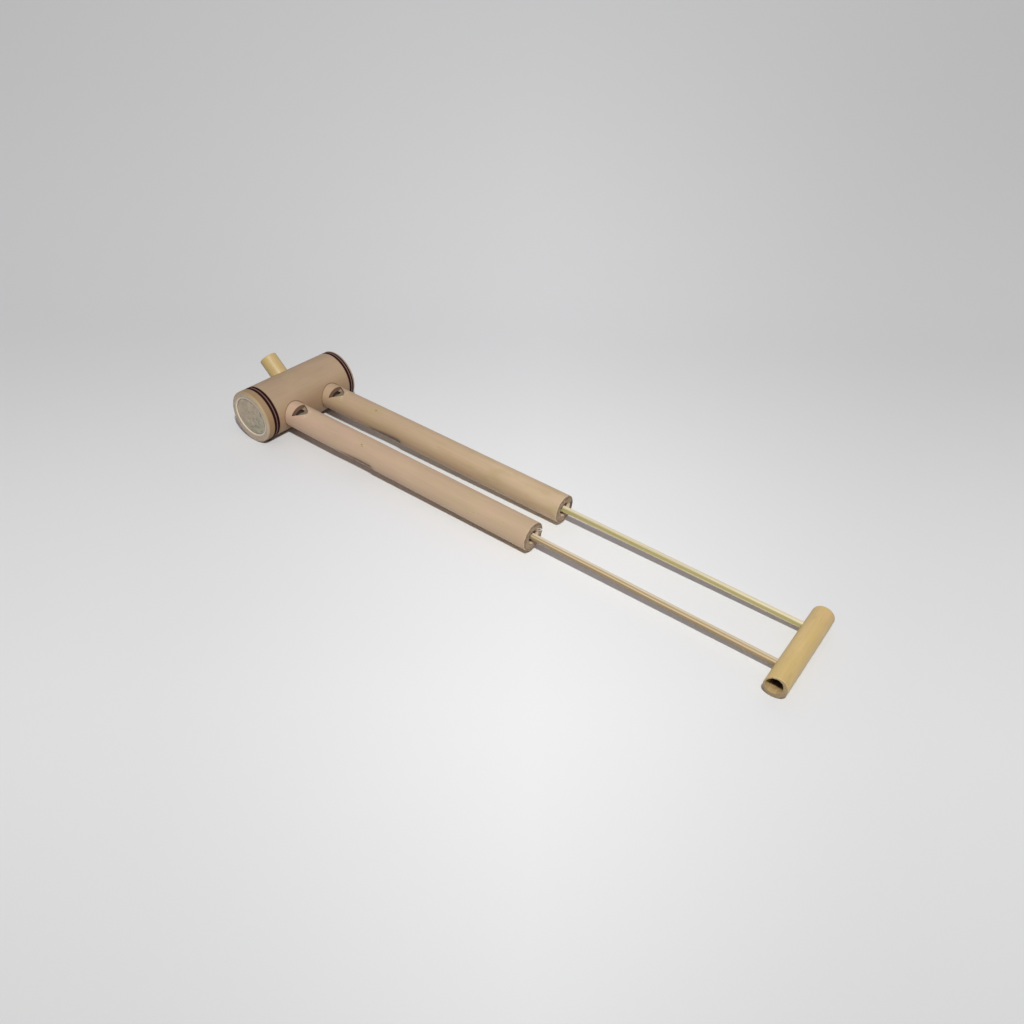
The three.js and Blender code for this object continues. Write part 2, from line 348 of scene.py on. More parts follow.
class Painter:
    """One material, painted from places (along, radius, angle) around an axis, in millimetres.

    Each pattern's seed is counted on from the material's own.
    """

    def __init__(self, name, axis, seed):
        self.seed = seed
        self.material = bpy.data.materials.new(name)
        self.material.use_nodes = True
        self.tree = self.material.node_tree
        self.tree.nodes.clear()
        place = add_node(self.tree, "ShaderNodeTexCoord", "Object", {})
        normal = add_node(self.tree, "ShaderNodeNewGeometry", "Normal", {})
        offset = self.vector_math("SUBTRACT", place, axis.centre)
        offset = self.vector_math("SCALE", offset, 1 / MM)
        self.along = self.dot(offset, axis.along)
        self.top = self.dot(offset, axis.top)
        self.side = self.dot(offset, axis.side)
        self.radius = span(self.top, self.side)
        self.angle = self.side.math("ARCTAN2", self.top)
        self.forward = self.dot(normal, axis.along)
        self.end_on = self.forward.math("ABSOLUTE")
        outward = self.dot(normal, axis.top) * self.top + self.dot(normal, axis.side) * self.side
        self.outward = outward / (self.radius + 0.001)

    def vector_math(self, operation, first, second):
        output = "Value" if operation == "DOT_PRODUCT" else "Vector"
        inputs = {0: first, "Scale" if operation == "SCALE" else 1: second}
        return add_node(self.tree, "ShaderNodeVectorMath", output, inputs, operation=operation)

    def dot(self, vector, direction):
        return self.vector_math("DOT_PRODUCT", vector, direction)

    def stretched(self, across_size, along_size):
        """The place as a texture vector whose unit is across_size by along_size millimetres."""
        values = (self.along / along_size, self.top / across_size, self.side / across_size)
        return add_node(self.tree, "ShaderNodeCombineXYZ", 0, dict(enumerate(values)))

    def noise(self, across_size, along_size, seed, detail=2.0, rough=0.5):
        """Noise from 0 to 1 with patches of about across_size by along_size millimetres."""
        place = self.stretched(across_size, along_size)
        draw = (self.seed + seed) * 7.3
        inputs = {"Vector": place, "W": draw, "Scale": 1.0, "Detail": detail, "Roughness": rough}
        return add_node(self.tree, "ShaderNodeTexNoise", "Fac", inputs, noise_dimensions="4D")

    def cells(self, across_size, along_size, seed):
        """Distance to the nearest of many scattered points, in units of their spacing."""
        place = self.stretched(across_size, along_size)
        inputs = {"Vector": place, "W": (self.seed + seed) * 3.7, "Scale": 1.0}
        return add_node(self.tree, "ShaderNodeTexVoronoi", "Distance", inputs, voronoi_dimensions="4D")

    def spot(self, along, angle, size):
        """1 inside a soft round spot of this radius on the surface, 0 outside."""
        ahead = self.along - along
        sideways = (self.angle - angle) * self.radius
        return span(ahead, sideways).step(size * 1.4, size * 0.7)

    def mix(self, factor, first, second):
        """first where factor is 0, second where it is 1; both are colours, 0 to 255 on a screen."""
        tones = [tone if isinstance(tone, Number) else colour(*tone) for tone in (first, second)]
        inputs = {"Factor": factor, 6: tones[0], 7: tones[1]}
        return add_node(self.tree, "ShaderNodeMix", 2, inputs, data_type="RGBA")

    def lay(self, mask, tone):
        """Paints a tone over the colour so far, where mask is 1."""
        self.paint = self.mix(mask, self.paint, tone)

    def brighten(self, amount):
        """Multiplies the colour so far by a number around 1."""
        self.paint = self.vector_math("SCALE", self.paint, amount)

    def finish(self, roughness, height, coat=0.0, shine=0.4):
        """Connects the colour, the roughness and a height in millimetres, and gives the material."""
        bump_inputs = {"Strength": 1.0, "Distance": MM, "Height": height}
        surface = add_node(self.tree, "ShaderNodeBsdfPrincipled", "BSDF", {
            "Base Color": self.paint,
            "Roughness": roughness,
            "Specular IOR Level": shine,
            "Coat Weight": coat,
            "Coat Roughness": 0.35,
            "Normal": add_node(self.tree, "ShaderNodeBump", "Normal", bump_inputs),
        })
        put(surface, self.tree.nodes.new("ShaderNodeOutputMaterial").inputs["Surface"])
        return self.material


# ---- bamboo finishes

def fibres(painter, seed):
    """Fine lengthwise fibres, -1 to 1, from three widths of stretched noise."""
    broad = painter.noise(1.6, 45, seed) - 0.5
    middle = painter.noise(0.55, 26, seed + 1) - 0.5
    fine = painter.noise(0.2, 14, seed + 2) - 0.5
    return broad * 0.8 + middle * 0.7 + fine * 0.5


def bamboo_skin(painter, light, dark, warm, sallow):
    """Paints the smooth outside of a culm and gives its height."""
    patches = painter.noise(9, 30, 3, detail=3).step(0.3, 0.7)
    blush = painter.noise(14, 22, 4, detail=2).step(0.42, 0.75)
    painter.paint = painter.mix(patches * 0.7, light, dark)
    painter.lay(blush * 0.45, warm)
    yellowed = painter.noise(6, 13, 9, detail=2).step(0.46, 0.7)
    painter.lay(yellowed * 0.5, sallow)
    threads = fibres(painter, 0)
    painter.brighten(threads * 0.16 + 1)
    flecks = painter.cells(1.9, 7.5, 5).step(0.13, 0.05)
    painter.lay(flecks * 0.3, (104, 74, 50))
    return threads * 0.03 - flecks * 0.02 + painter.noise(3.5, 9, 6) * 0.05


def bamboo_wood(painter, light, dark):
    """Colour and height of cut bamboo, whose bundles are dots end on and dashes along a cut."""
    bundles = painter.cells(0.85, 40, 8)
    ring = bundles.step(0.42, 0.22)
    core = bundles.step(0.2, 0.08)
    pith = painter.noise(0.5, 8, 9, detail=3)
    wood = painter.mix(pith, light, dark)
    wood = painter.mix(ring * 0.65, wood, (116, 86, 58))
    wood = painter.mix(core * 0.8, wood, (66, 44, 32))
    return wood, pith * 0.05 + ring * 0.05 - core * 0.06


# ---- where everything is

def middle_of(node):
    low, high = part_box(node)
    return (low + high) / 2


def size_of(node):
    low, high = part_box(node)
    return (high - low) / MM


chamber_middle = middle_of("wind_chamber")
chamber_length = size_of("wind_chamber").y
chamber_radius = size_of("wind_chamber").z / 2
chamber_axis = Axis(chamber_middle, Y_AXIS, Z_AXIS)
chamber_ends = (-chamber_length / 2, chamber_length / 2)
disc_offset = (middle_of("near_end_plug") - chamber_middle) / MM
chamber_bore_shift = Vector((disc_offset.z, disc_offset.x))  # towards the top and the side

handle_middle = middle_of("handle")
handle_axis = Axis(handle_middle, Y_AXIS, Z_AXIS)
handle_radius = size_of("handle").x / 2
handle_length = size_of("handle").y


def lane_axis(side):
    """The shared axis of a pipe, its rod and its piston, with distances from the chamber's axis."""
    lane = middle_of(f"{side}_rod")
    return Axis((chamber_middle.x, lane.y, lane.z), X_AXIS, Z_AXIS)


def distance_along(x):
    return (x - chamber_middle.x) / MM


LANES = {side: lane_axis(side) for side in ("near", "far")}

tip_mount = next(m for m in frame["record"]["mounts"] if m["name"] == "blowpipe_tip")
blow_direction = Vector(tip_mount["axis"]).normalized()
blow_axis = Axis(
    (chamber_middle.x, tip_mount["pos_m"][1], chamber_middle.z),
    blow_direction,
    Y_AXIS.cross(blow_direction),
)
blow_tip = (Vector(tip_mount["pos_m"]) - blow_axis.centre).dot(blow_direction) / MM
blow_radius = size_of("blowpipe").y / 2


def ends_of(node):
    """Where a node starts and ends, counted along X from the chamber's axis."""
    low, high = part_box(node)
    return distance_along(low.x), distance_along(high.x)


PIPE_TAPER = 0.15  # how much slimmer a pipe is where it leaves the chamber


def pipe_sizes(side):
    root, mouth = ends_of(f"{side}_pipe")
    radius = size_of(f"{side}_pipe").y / 2
    return {"root": root, "mouth": mouth, "radius": radius, "root_radius": radius - PIPE_TAPER}


PIPES = {side: pipe_sizes(side) for side in ("near", "far")}


# ---- wind chamber

# Middles of the near and the far pair of scorched lines, and of all four lines, along the chamber
SCORCH_PAIRS = (chamber_ends[0] + SCORCH_FROM_NEAR_END, chamber_ends[1] - SCORCH_FROM_FAR_END)
SCORCH_LINES = [pair + side * SCORCH_SPACING / 2 for pair in SCORCH_PAIRS for side in (-1, 1)]


def chamber_shape(along, radius, angle):
    """Slight unevenness of the outside, and the burnt-in lines."""
    outside = smooth(radius, chamber_radius - 1.5, chamber_radius - 0.5)
    inside = 1 - smooth(radius, CHAMBER_BORE + CHAMBER_BORE_EDGE, chamber_radius - 1.6)
    radius += inside * (off_centre(radius, angle, chamber_bore_shift, BORE_OVAL) - radius)
    wave = 0.5 + 0.5 * waviness(along, angle, 0.8, 38, 1)
    radius -= outside * 0.14 * wave
    for middle in SCORCH_LINES:
        share = max(0.0, 1 - (abs(along - middle) / (SCORCH_WIDTH / 2)) ** 2)
        uneven = 0.85 + 0.15 * waviness(along, angle, 0.25, 5, 2)
        radius -= outside * SCORCH_DEPTH * share * uneven
    return along, radius


def chamber_mesh():
    near, far = chamber_ends
    bevel = CHAMBER_BORE_EDGE
    side_step = 0.32
    points = outline([
        (near + bevel, CHAMBER_BORE, 0.15, 4.0),
        (near, CHAMBER_BORE + bevel, 0.15, 0.7),
        (near, chamber_radius, CHAMBER_NEAR_EDGE, side_step),
        (far, chamber_radius, CHAMBER_FAR_EDGE, 0.7),
        (far, CHAMBER_BORE + bevel, 0.15, 0.4),
        (far - bevel, CHAMBER_BORE, 0.15, 4.0),
    ])
    chamber = revolve("chamber_shell", chamber_axis, points, 168, chamber_shape)
    cutters = []
    for side, axis in LANES.items():
        radius = PIPES[side]["root_radius"] + HOLE_PLAY
        cutters.append(drill(f"{side}_hole", axis, *WALL_REACH, radius, 96))
    cutters.append(drill("blow_hole", blow_axis, *WALL_REACH, blow_radius + HOLE_PLAY, 72))
    cut(chamber, cutters)
    return chamber


def paint_scorch(painter):
    """Scorched lines with a browned land between and a soft halo. Gives the lines' mask."""
    wander = (painter.noise(2.5, 2.5, 2) - 0.5) * 0.2
    for pair in SCORCH_PAIRS:
        halo = (painter.along + wander).band(pair, 1.7, 1.3)
        painter.lay(halo * 0.4, (120, 88, 66))
        land = painter.along.band(pair, 1.3, 0.3)
        painter.lay(land * 0.9, (112, 82, 78))
    char = most(*[(painter.along + wander).band(middle, 0.74, 0.22) for middle in SCORCH_LINES])
    soot = painter.mix(painter.noise(0.8, 0.4, 3), (40, 12, 14), (20, 6, 8))
    painter.lay(char * 0.97, soot)
    return char


def paint_seams(painter):
    """A thin brown line where each pipe enters."""
    rings = []
    for side, axis in LANES.items():
        gap = (axis.centre - chamber_middle) / MM
        sideways = painter.along - gap.dot(Y_AXIS)
        upwards = painter.top - gap.dot(Z_AXIS)
        ring = (span(sideways, upwards) - PIPES[side]["root_radius"]).step(0.75, 0.25)
        rings.append(ring * painter.side.step(2.0, 4.0))
    painter.lay(most(*rings) * 0.7, (104, 72, 50))


def paint_rims(painter, wood):
    """Creamy cut wood, paler on the bevel down to the disc. Gives the rims' mask."""
    near, far = chamber_ends
    at_near_end = painter.along.step(near + 2.4, near + 1.8)
    at_far_end = painter.along.step(far - 1.6, far - 1.0)
    at_end = most(at_near_end, at_far_end)
    rim = painter.end_on.step(0.55, 0.85) * at_end
    painter.lay(rim, wood)
    bore_top = (painter.top - chamber_bore_shift.x) / BORE_OVAL.x
    bore_side = (painter.side - chamber_bore_shift.y) / BORE_OVAL.y
    bevel = span(bore_top, bore_side).step(CHAMBER_BORE + 1.5, CHAMBER_BORE + 0.8)
    bevel = bevel * painter.end_on.step(0.3, 0.5)
    painter.lay(bevel * at_end * 0.9, (218, 207, 188))
    edge = painter.end_on.band(0.52, 0.34, 0.16) * painter.outward.step(0.1, 0.4) * at_end
    yellow_part = painter.top.step(-4, 9) * at_near_end
    edge_tone = painter.mix(yellow_part, (188, 166, 146), (172, 152, 112))
    painter.lay(edge * 0.7, edge_tone)
    inside = painter.outward.step(-0.5, -0.8) * at_end.inverse()
    painter.lay(inside * 0.8, (150, 122, 92))
    return rim


def chamber_material():
    painter = Painter("shaved_bamboo_chamber", chamber_axis, 11)
    height = bamboo_skin(painter, (176, 151, 125), (163, 138, 113), (178, 146, 122), (172, 152, 116))
    wood, wood_height = bamboo_wood(painter, (192, 174, 152), (174, 155, 134))

    # painted shade: the front is browner towards the floor; the strip outside the near lines is more
    # yellow
    shaded_low_front = painter.top.step(15, -2) * painter.side.step(0, 7)
    painter.lay(shaded_low_front * 0.55, (146, 112, 82))
    outside_near = painter.along.step(SCORCH_PAIRS[0], SCORCH_PAIRS[0] - 1.5)
    painter.lay(outside_near * 0.75, (149, 118, 84))

    char = paint_scorch(painter)
    paint_seams(painter)
    rim = paint_rims(painter, wood)
    height = blend(height, wood_height, rim)
    roughness = painter.noise(4, 12, 4) * 0.16 + 0.5
    roughness = blend(roughness, 0.8, char)
    return painter.finish(roughness, height, shine=blend(0.4, 0.05, char))


# ---- end discs

def disc_mesh(name, node, outward):
    """A pressed disc whose outer face is slightly domed and rough."""
    low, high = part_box(node)
    axis = Axis(((low.x + high.x) / 2, high.y if outward > 0 else low.y, (low.z + high.z) / 2),
                Y_AXIS * outward, Z_AXIS)
    thickness = (high.y - low.y) / MM
    radius = (high.z - low.z) / MM / 2 / BORE_OVAL.x + 0.12
    seed = 21 if outward < 0 else 31

    def rough(along, ring, angle):
        face = smooth(along, -1.0, -0.2)
        spot = Vector((ring * math.cos(angle), ring * math.sin(angle), seed))
        lumps = noise(spot / 3.2) * 0.16 + noise(spot / 1.1) * 0.07
        hollow = 0.25 * (ring / radius) ** 6
        sunk = face * (0.2 - lumps + hollow) * (1 - 0.6 * smooth(ring, radius - 1, radius))
        return along - sunk, off_centre(ring, angle, Vector((0, 0)), BORE_OVAL)

    points = outline([
        (0, 0, 0, 0.35), (0, radius, 0.5, 1.5), (-thickness, radius, 0.3, 1.5), (-thickness, 0, 0, 1),
    ], closed=False)
    return revolve(name, axis, points, 144, rough, closed=False), axis


def disc_material(name, axis, seed):
    painter = Painter(name, axis, seed)
    cloud = painter.noise(4.5, 4.5, 0, detail=4, rough=0.6).step(0.3, 0.7)
    worn = (painter.top * 0.8 + painter.side).step(5, -11)
    painter.paint = painter.mix(cloud, (170, 152, 132), (152, 142, 126))
    painter.lay(worn * 0.6, (150, 148, 132))
    blotch = painter.noise(2.0, 2.0, 1, detail=4, rough=0.65).step(0.5, 0.64)
    painter.lay(blotch * (worn * 0.6 + 0.25), (112, 106, 92))
    pale = painter.noise(0.9, 0.9, 2, detail=3, rough=0.6).step(0.55, 0.75)
    painter.lay(pale * 0.45, (190, 182, 162))
    specks = painter.cells(1.5, 1.5, 3).step(0.2, 0.08)
    painter.lay(specks * (worn * 0.5 + 0.3), (92, 82, 70))
    lumps = painter.noise(2.6, 2.6, 5, detail=3, rough=0.6)
    painter.brighten((lumps - 0.5) * 0.5 + 1.32)
    painter.lay(painter.radius.step(12.0, 13.4) * 0.2, (196, 182, 156))
    height = cloud * 0.1 + blotch * -0.12 + pale * 0.06 - specks * 0.08
    return painter.finish(painter.noise(2, 2, 4) * 0.15 + 0.8, height)


# ---- whistle pipes

def bud_depth(side, along, angle):
    """Depth of the natural hollow under a pipe, which deepens slowly and ends at a scar."""
    end = BUD_END[side]
    if not end - BUD_LENGTH < along < end:
        return 0.0
    deepest = BUD_DEPTH * smooth(along, end - BUD_LENGTH, end - 6) * smooth(along, end, end - 1.4)
    arc = turn_between(angle, BUD_TURN) * PIPES[side]["radius"]
    return max(0.0, deepest - arc * arc * 0.1)


def pipe_shape(side):
    mouth = PIPES[side]["mouth"]
    outer = PIPES[side]["radius"]
    seed = 3 if side == "near" else 5

    def shape(along, radius, angle):
        outside = smooth(radius, outer - 1.2, outer - 0.6)
        wave = 0.5 + 0.5 * waviness(along, angle, 0.9, 45, seed)
        ripple = 0.5 + 0.5 * waviness(along, angle, 0.3, 16, seed + 1)
        free = smooth(along, 17, 20)
        radius -= outside * free * (0.12 * wave + 0.05 * ripple)
        if radius > outer - 1.2:
            radius -= bud_depth(side, along, angle)
        if radius < PIPE_BORE + 0.4:
            radius += 0.12 * (0.5 + 0.5 * waviness(along, angle, 0.5, 20, seed + 2))
        near_mouth = smooth(along, mouth - FLARE_DEPTH, mouth)
        inner = 1 - smooth(radius, PIPE_BORE + 0.3, outer - 1.4)
        spread = 1 - smooth(turn_between(angle, FLARE_TURN[side]), 0.25, 0.95)
        jagged = 1 + 0.3 * waviness(along, angle, 0.18, 3, seed + 3)
        radius += near_mouth * inner * (0.25 + FLARE_WIDTH[side] * spread * jagged)
        chipped = 0.3 * max(0.0, waviness(radius, angle, 0.22, 2.5, seed + 4))
        along -= smooth(along, mouth - 0.4, mouth) * (0.06 + chipped)
        return along, radius

    return shape


def loft(name, rings):
    """A solid through rings that have as many points each, closed at both ends."""
    mesh_data = bmesh.new()
    rows = [[mesh_data.verts.new(point) for point in ring] for ring in rings]
    bridge(mesh_data, rows)
    mesh_data.faces.new(rows[0])
    mesh_data.faces.new(rows[-1])
    return mesh_object(name, mesh_data)


def window_cutter(side):
    """A carved wedge: a D-shaped outline whose bottom is a ramp down to the windway."""
    axis = LANES[side]
    outer = PIPES[side]["radius"]
    slope = (PIPES[side]["root_radius"] - RAMP_FOOT_HEIGHT) / (WINDOW_APEX - RAMP_FOOT)
    seed = 41 if side == "near" else 43
    rows = 30
    columns = 26
    rings = []
    for row in range(rows + 1):
        share = row / rows
        along = WINDOW_CUT + (WINDOW_APEX - WINDOW_CUT) * share
        half = WINDOW_HALF_WIDTH * max(0.004, 1 - share) ** 0.66
        half += 0.22 * noise(Vector((along / 0.9, seed, 0))) * smooth(share, 0.0, 0.4)
        floor_height = RAMP_FOOT_HEIGHT + max(0.0, along - RAMP_FOOT) * slope
        corners = []
        for column in range(columns + 1):
            across = half * (2 * column / columns - 1)
            ridges = 0.07 * noise(Vector((along / 6, across / 0.5, seed)))
            corners.append((across, floor_height + ridges))
        corners += [(half, outer + 2), (-half, outer + 2)]
        rings.append([axis.point(along, height, WINDOW_TURN, across) for across, height in corners])
    return loft(f"{side}_window_cutter", rings)


def split_cutter(side):
    """A flat wedge that opens a short split through the wall, widest at the mouth."""
    axis = LANES[side]
    mouth = PIPES[side]["mouth"]
    run = (SPLIT_OUTER - SPLIT_INNER).normalized()
    across = Vector((-run.y, run.x))
    rows = 12
    rings = []
    for row in range(rows + 1):
        share = row / rows
        along = mouth + 1 - (SPLIT_LENGTH + 1) * share
        half = 0.5 * SPLIT_WIDTH * (1 - 0.75 * share) + 0.12 * noise(Vector((along / 0.8, 3, 0)))
        wander = 0.15 * noise(Vector((along / 1.3, 7, 0)))
        ring = []
        for place, sign in ((SPLIT_INNER, -1), (SPLIT_OUTER, -1), (SPLIT_OUTER, 1), (SPLIT_INNER, 1)):
            spot = place + across * (sign * half + wander)
            ring.append(axis.point(along, spot.y, 0, spot.x))
        rings.append(ring)
    return loft(f"{side}_split_cutter", rings)


def pipe_mesh(side):
    sizes = PIPES[side]
    points = outline([
        (sizes["root"], ROOT_BORE, 0, 1.0),
        (sizes["root"], sizes["root_radius"], 0.3, 1.0),
        (18, sizes["root_radius"], 0, 0.9),
        (sizes["mouth"], sizes["radius"], 0.45, 0.3),
        (sizes["mouth"], PIPE_BORE, 0.1, 0.5),
        (sizes["mouth"] - 3, PIPE_BORE, 0, 3.0),
        (RAMP_FOOT, PIPE_BORE, 0, 0.5),
        (RAMP_FOOT, ROOT_BORE, 0, 1.5),
    ])
    pipe = revolve(f"{side}_whistle_pipe", LANES[side], points, 108, pipe_shape(side))
    cutters = [window_cutter(side)]
    if side == "near":
        cutters.append(split_cutter(side))
    cut(pipe, cutters)
    return pipe


# Skin colours of each pipe: at its root, at its mouth, its blush and its yellowed patches
PIPE_TONES = {
    "near": ((197, 167, 143), (197, 171, 141), (200, 164, 142), (190, 168, 132)),
    "far": ((187, 160, 131), (206, 180, 147), (192, 162, 132), (184, 163, 120)),
}

# Small dark specks on each pipe, as (along, angle, size)
SPECKS = {
    "near": ((83.0, math.radians(32), 0.55), (84.2, math.radians(38), 0.35)),
    "far": ((62.5, math.radians(19), 0.6),),
}


def shade_bud_hollow(painter, side):
    """Painted shade: the hollow under the pipe is darkened up to its scar, with a paler brown fringe of
    painted shade around it.
    """
    end = BUD_END[side]
    turn = (painter.angle - BUD_TURN) * PIPES[side]["radius"]
    frayed = (painter.noise(0.5, 6, 12, detail=3) - 0.5) * 2.4
    reach = painter.along.step(end - BUD_LENGTH, end - 4)
    half_width = reach * 2.4 + 0.2
    across = ((turn + 0.4).math("ABSOLUTE") + frayed * 0.5) / half_width
    hollow_shade = across.step(1.25, 0.6) * (painter.along + frayed * 0.2).step(end + 0.3, end - 0.3)
    hollow_shade = hollow_shade * painter.along.step(end - BUD_LENGTH, end - 8) * painter.outward.step(0.0, 0.3)
    painter.lay(hollow_shade * 0.97, (42, 22, 14))
    # paler brown painted shade around the dark hollow
    halo = across.step(2.4, 0.8) * painter.along.band(end - 14, 10, 9) * painter.outward.step(0.0, 0.3)
    painter.lay(halo * 0.45, (128, 92, 64))


def paint_window(painter, side):
    """A carved ramp, a rough brown cross cut, painted shade at its narrow near-side corner and torn
    fibres at the tip. Gives the window's mask.
    """
    depth = (painter.radius * -1) + PIPES[side]["root_radius"]
    window = depth.step(0.2, 0.5) * painter.along.step(WINDOW_APEX + 2, WINDOW_APEX + 1)
    window = window * painter.outward.step(-0.5, -0.2)
    carved = painter.mix(painter.noise(0.7, 5, 17, detail=3), (172, 152, 130), (124, 106, 86))
    painter.lay(window, carved)
    cross_cut = painter.forward.step(0.6, 0.85) * painter.along.step(WINDOW_CUT + 1, WINDOW_CUT + 0.4)
    rough_wood = painter.mix(painter.noise(0.9, 0.9, 18, detail=3), (150, 118, 96), (108, 78, 60))
    cross_cut = cross_cut * painter.along.step(WINDOW_CUT - 1, WINDOW_CUT - 0.4)
    painter.lay(cross_cut, rough_wood)
    # painted shade: the window's narrow corner on the near side is darker
    tip = painter.angle.step(WINDOW_TURN + 0.5, WINDOW_TURN + 0.68)
    tip = tip * painter.along.step(WINDOW_CUT + 3, WINDOW_CUT + 1)
    painter.lay(tip * window * 0.8, (108, 70, 50))
    torn = painter.noise(0.35, 1.6, 19, detail=2).step(0.52, 0.66)
    torn = torn * painter.along.band(WINDOW_APEX, 0.8, 1.4) * painter.angle.band(WINDOW_TURN, 0.3, 0.35)
    painter.lay(torn * 0.7, (232, 212, 188))
    return window


def paint_mouth(painter, side, wood):
    """Speckled end grain, a painted highlight on the outer edge, painted shade deeper in the bore and a
    pale flare into it that is partly a painted highlight. Gives the cut face's mask.
    """
    mouth = PIPES[side]["mouth"]
    at_mouth = painter.along.step(mouth - 4.5, mouth - 3.5)
    ends = painter.end_on.step(0.5, 0.8)
    painter.lay(ends * at_mouth, wood)
    damp = painter.noise(1.7, 1.7, 20, detail=4, rough=0.65).step(0.5, 0.6)
    painter.lay(damp * ends * at_mouth * 0.5, (100, 84, 64))
    line = painter.radius.band(PIPES[side]["radius"] - 1.0, 0.2, 0.35) * ends * at_mouth
    painter.lay(line * 0.5, (122, 94, 68))
    if side == "far":
        # a darker strip on the far side of the end face, outside the bore
        far_dark_strip = painter.angle.band(math.radians(-95), 0.3, 0.15) * painter.radius.step(5.6, 6.0) * ends
        painter.lay(far_dark_strip * at_mouth * 0.85, (84, 70, 56))
    # painted shade: the lining darkens deeper into the bore and is near black from the window inwards
    bore = painter.outward.step(-0.35, -0.6)
    shade_deeper_in = painter.along.step(mouth, mouth - 9)
    lining = painter.mix(shade_deeper_in, (176, 148, 116), (112, 84, 60))
    lining = painter.mix(painter.along.step(WINDOW_APEX, WINDOW_CUT), lining, (34, 20, 14))
    painter.lay(bore, lining)
    # the flare into the bore is pale cut wood with a painted highlight on it
    flare = painter.along.step(mouth - 2.0, mouth - 1.2) * painter.outward.step(-0.12, -0.3)
    pale_flare_and_highlight = painter.mix(painter.noise(0.6, 3, 14, detail=3), (232, 212, 192), (190, 160, 130))
    painter.lay(flare * 0.9, pale_flare_and_highlight)
    # painted highlight on the rounded outer edge of the mouth
    edge = painter.end_on.band(0.5, 0.15, 0.2) * at_mouth * painter.outward.step(0.3, 0.6)
    painter.lay(edge * 0.6, (220, 196, 166))
    return ends * at_mouth


def paint_split(painter, side):
    """Fresh pale fibres on the faces of the split."""
    mouth = PIPES[side]["mouth"]
    outer = PIPES[side]["radius"]
    run = (SPLIT_OUTER - SPLIT_INNER).normalized()
    sideways = painter.side - SPLIT_INNER.x
    upwards = painter.top - SPLIT_INNER.y
    across = sideways * -run.y + upwards * run.x
    outwards = sideways * run.x + upwards * run.y
    split = across.band(0, SPLIT_WIDTH / 2 + 0.2, 0.3) * outwards.step(-1, 0)
    split = split * painter.along.step(mouth - SPLIT_LENGTH, mouth - SPLIT_LENGTH + 0.8)
    painter.lay(split * painter.radius.step(outer - 0.7, outer - 1.2) * 0.8, (242, 230, 212))


def pipe_material(side):
    painter = Painter(f"shaved_bamboo_{side}_pipe", LANES[side], 51 if side == "near" else 71)
    root_tone, mouth_tone, warm, sallow = PIPE_TONES[side]
    light = painter.mix(painter.along.step(10, PIPES[side]["mouth"]), root_tone, mouth_tone)
    dark = painter.mix(0.1, light, (0, 0, 0))
    height = bamboo_skin(painter, light, dark, warm, sallow)
    wood, wood_height = bamboo_wood(painter, (186, 164, 140), (150, 126, 102))
    for along, angle, size in SPECKS[side]:
        painter.lay(painter.spot(along, angle, size) * 0.5, (92, 62, 44))
    shade_bud_hollow(painter, side)
    window = paint_window(painter, side)
    mouth_face = paint_mouth(painter, side, wood)
    if side == "near":
        paint_split(painter, side)
    cut_face = most(window, mouth_face)
    height = blend(height, wood_height, cut_face)
    roughness = painter.noise(5, 16, 15) * 0.18 + 0.48
    roughness = blend(roughness, 0.8, cut_face)
    return painter.finish(roughness, height)


# ---- fipple blocks

def block_axis(side):
    """The block lies lower than its pipe's axis."""
    middle = middle_of(f"{side}_fipple_block")
    return Axis((chamber_middle.x, middle.y, middle.z), X_AXIS, Z_AXIS)


def block_mesh(side):
    """A round plug whose gap below the pipe's top is the windway."""
    start, end = ends_of(f"{side}_fipple_block")
    outer = size_of(f"{side}_fipple_block").y / 2

    def rough(along, radius, angle):
        return along, radius * (0.992 + 0.006 * waviness(along, angle, 0.3, 4, 8))

    points = outline([
        (start, 0, 0, 0.8), (start, outer, 0.4, 0.8), (end, outer, 0.3, 0.5), (end, 0, 0, 0.6),
    ], closed=False)
    return revolve(f"{side}_windway_block", block_axis(side), points, 90, rough, closed=False)


def block_material(side):
    """Wood with painted shade: a dark upper edge that widens the dark windway, a darker lower part, and
    dark sides because the windway above them is unlit.
    """
    painter = Painter(f"block_wood_{side}", block_axis(side), 91 if side == "near" else 95)
    rings = painter.noise(0.9, 30, 0, detail=3)
    threads = fibres(painter, 1)
    painter.paint = painter.mix(rings.step(0.3, 0.7), (190, 168, 148), (160, 140, 120))
    painter.brighten(threads * 0.2 + 1)
    # painted shade on the lower part, along the upper edge and on the sides
    shaded_low_part = (painter.top * 0.9 + painter.side * 0.4).step(3.4, 0.5)
    painter.lay(shaded_low_part * 0.7, (112, 98, 82))
    painter.lay(span(painter.top + 1.2, painter.side).step(3.9, 4.6) * 0.9, (38, 24, 18))
    painter.lay(painter.end_on.step(0.5, 0.3), (30, 17, 12))
    return painter.finish(rings * 0.15 + 0.62, threads * 0.04 + rings * 0.05)


# ---- rods

def rod_facets(side):
    """Directions and distances of the flats that the knife left along a split stick."""
    draw = random.Random(7 if side == "near" else 8)
    count = 9
    facets = []
    for index in range(count):
        direction = 2 * math.pi * (index + draw.uniform(-0.28, 0.28)) / count
        facets.append((direction, ROD_RADIUS * draw.uniform(0.9, 0.965)))
    return facets


def rod_mesh(side):
    start, end = ends_of(f"{side}_rod")
    facets = rod_facets(side)
    seed = 61 if side == "near" else 67

    def shaved(along, radius, angle):
        limit = ROD_RADIUS
        for index, (direction, distance) in enumerate(facets):
            drift = 0.12 * noise(Vector((along / 55, index * 3.1, seed)))
            towards = math.cos(angle - direction - drift)
            if towards > 0.5:
                depth = distance + 0.045 * noise(Vector((along / 22, index * 5.7, seed + 1)))
                limit = min(limit, depth / towards)
        return along, radius * limit / ROD_RADIUS

    points = outline([
        (start, 0, 0, 0.5), (start, ROD_RADIUS, 0.2, 1.0), (end, ROD_RADIUS, 0.2, 0.5), (end, 0, 0, 1),
    ], closed=False)
    return revolve(f"{side}_stick", LANES[side], points, 96, shaved, closed=False, sharp_angle=50)


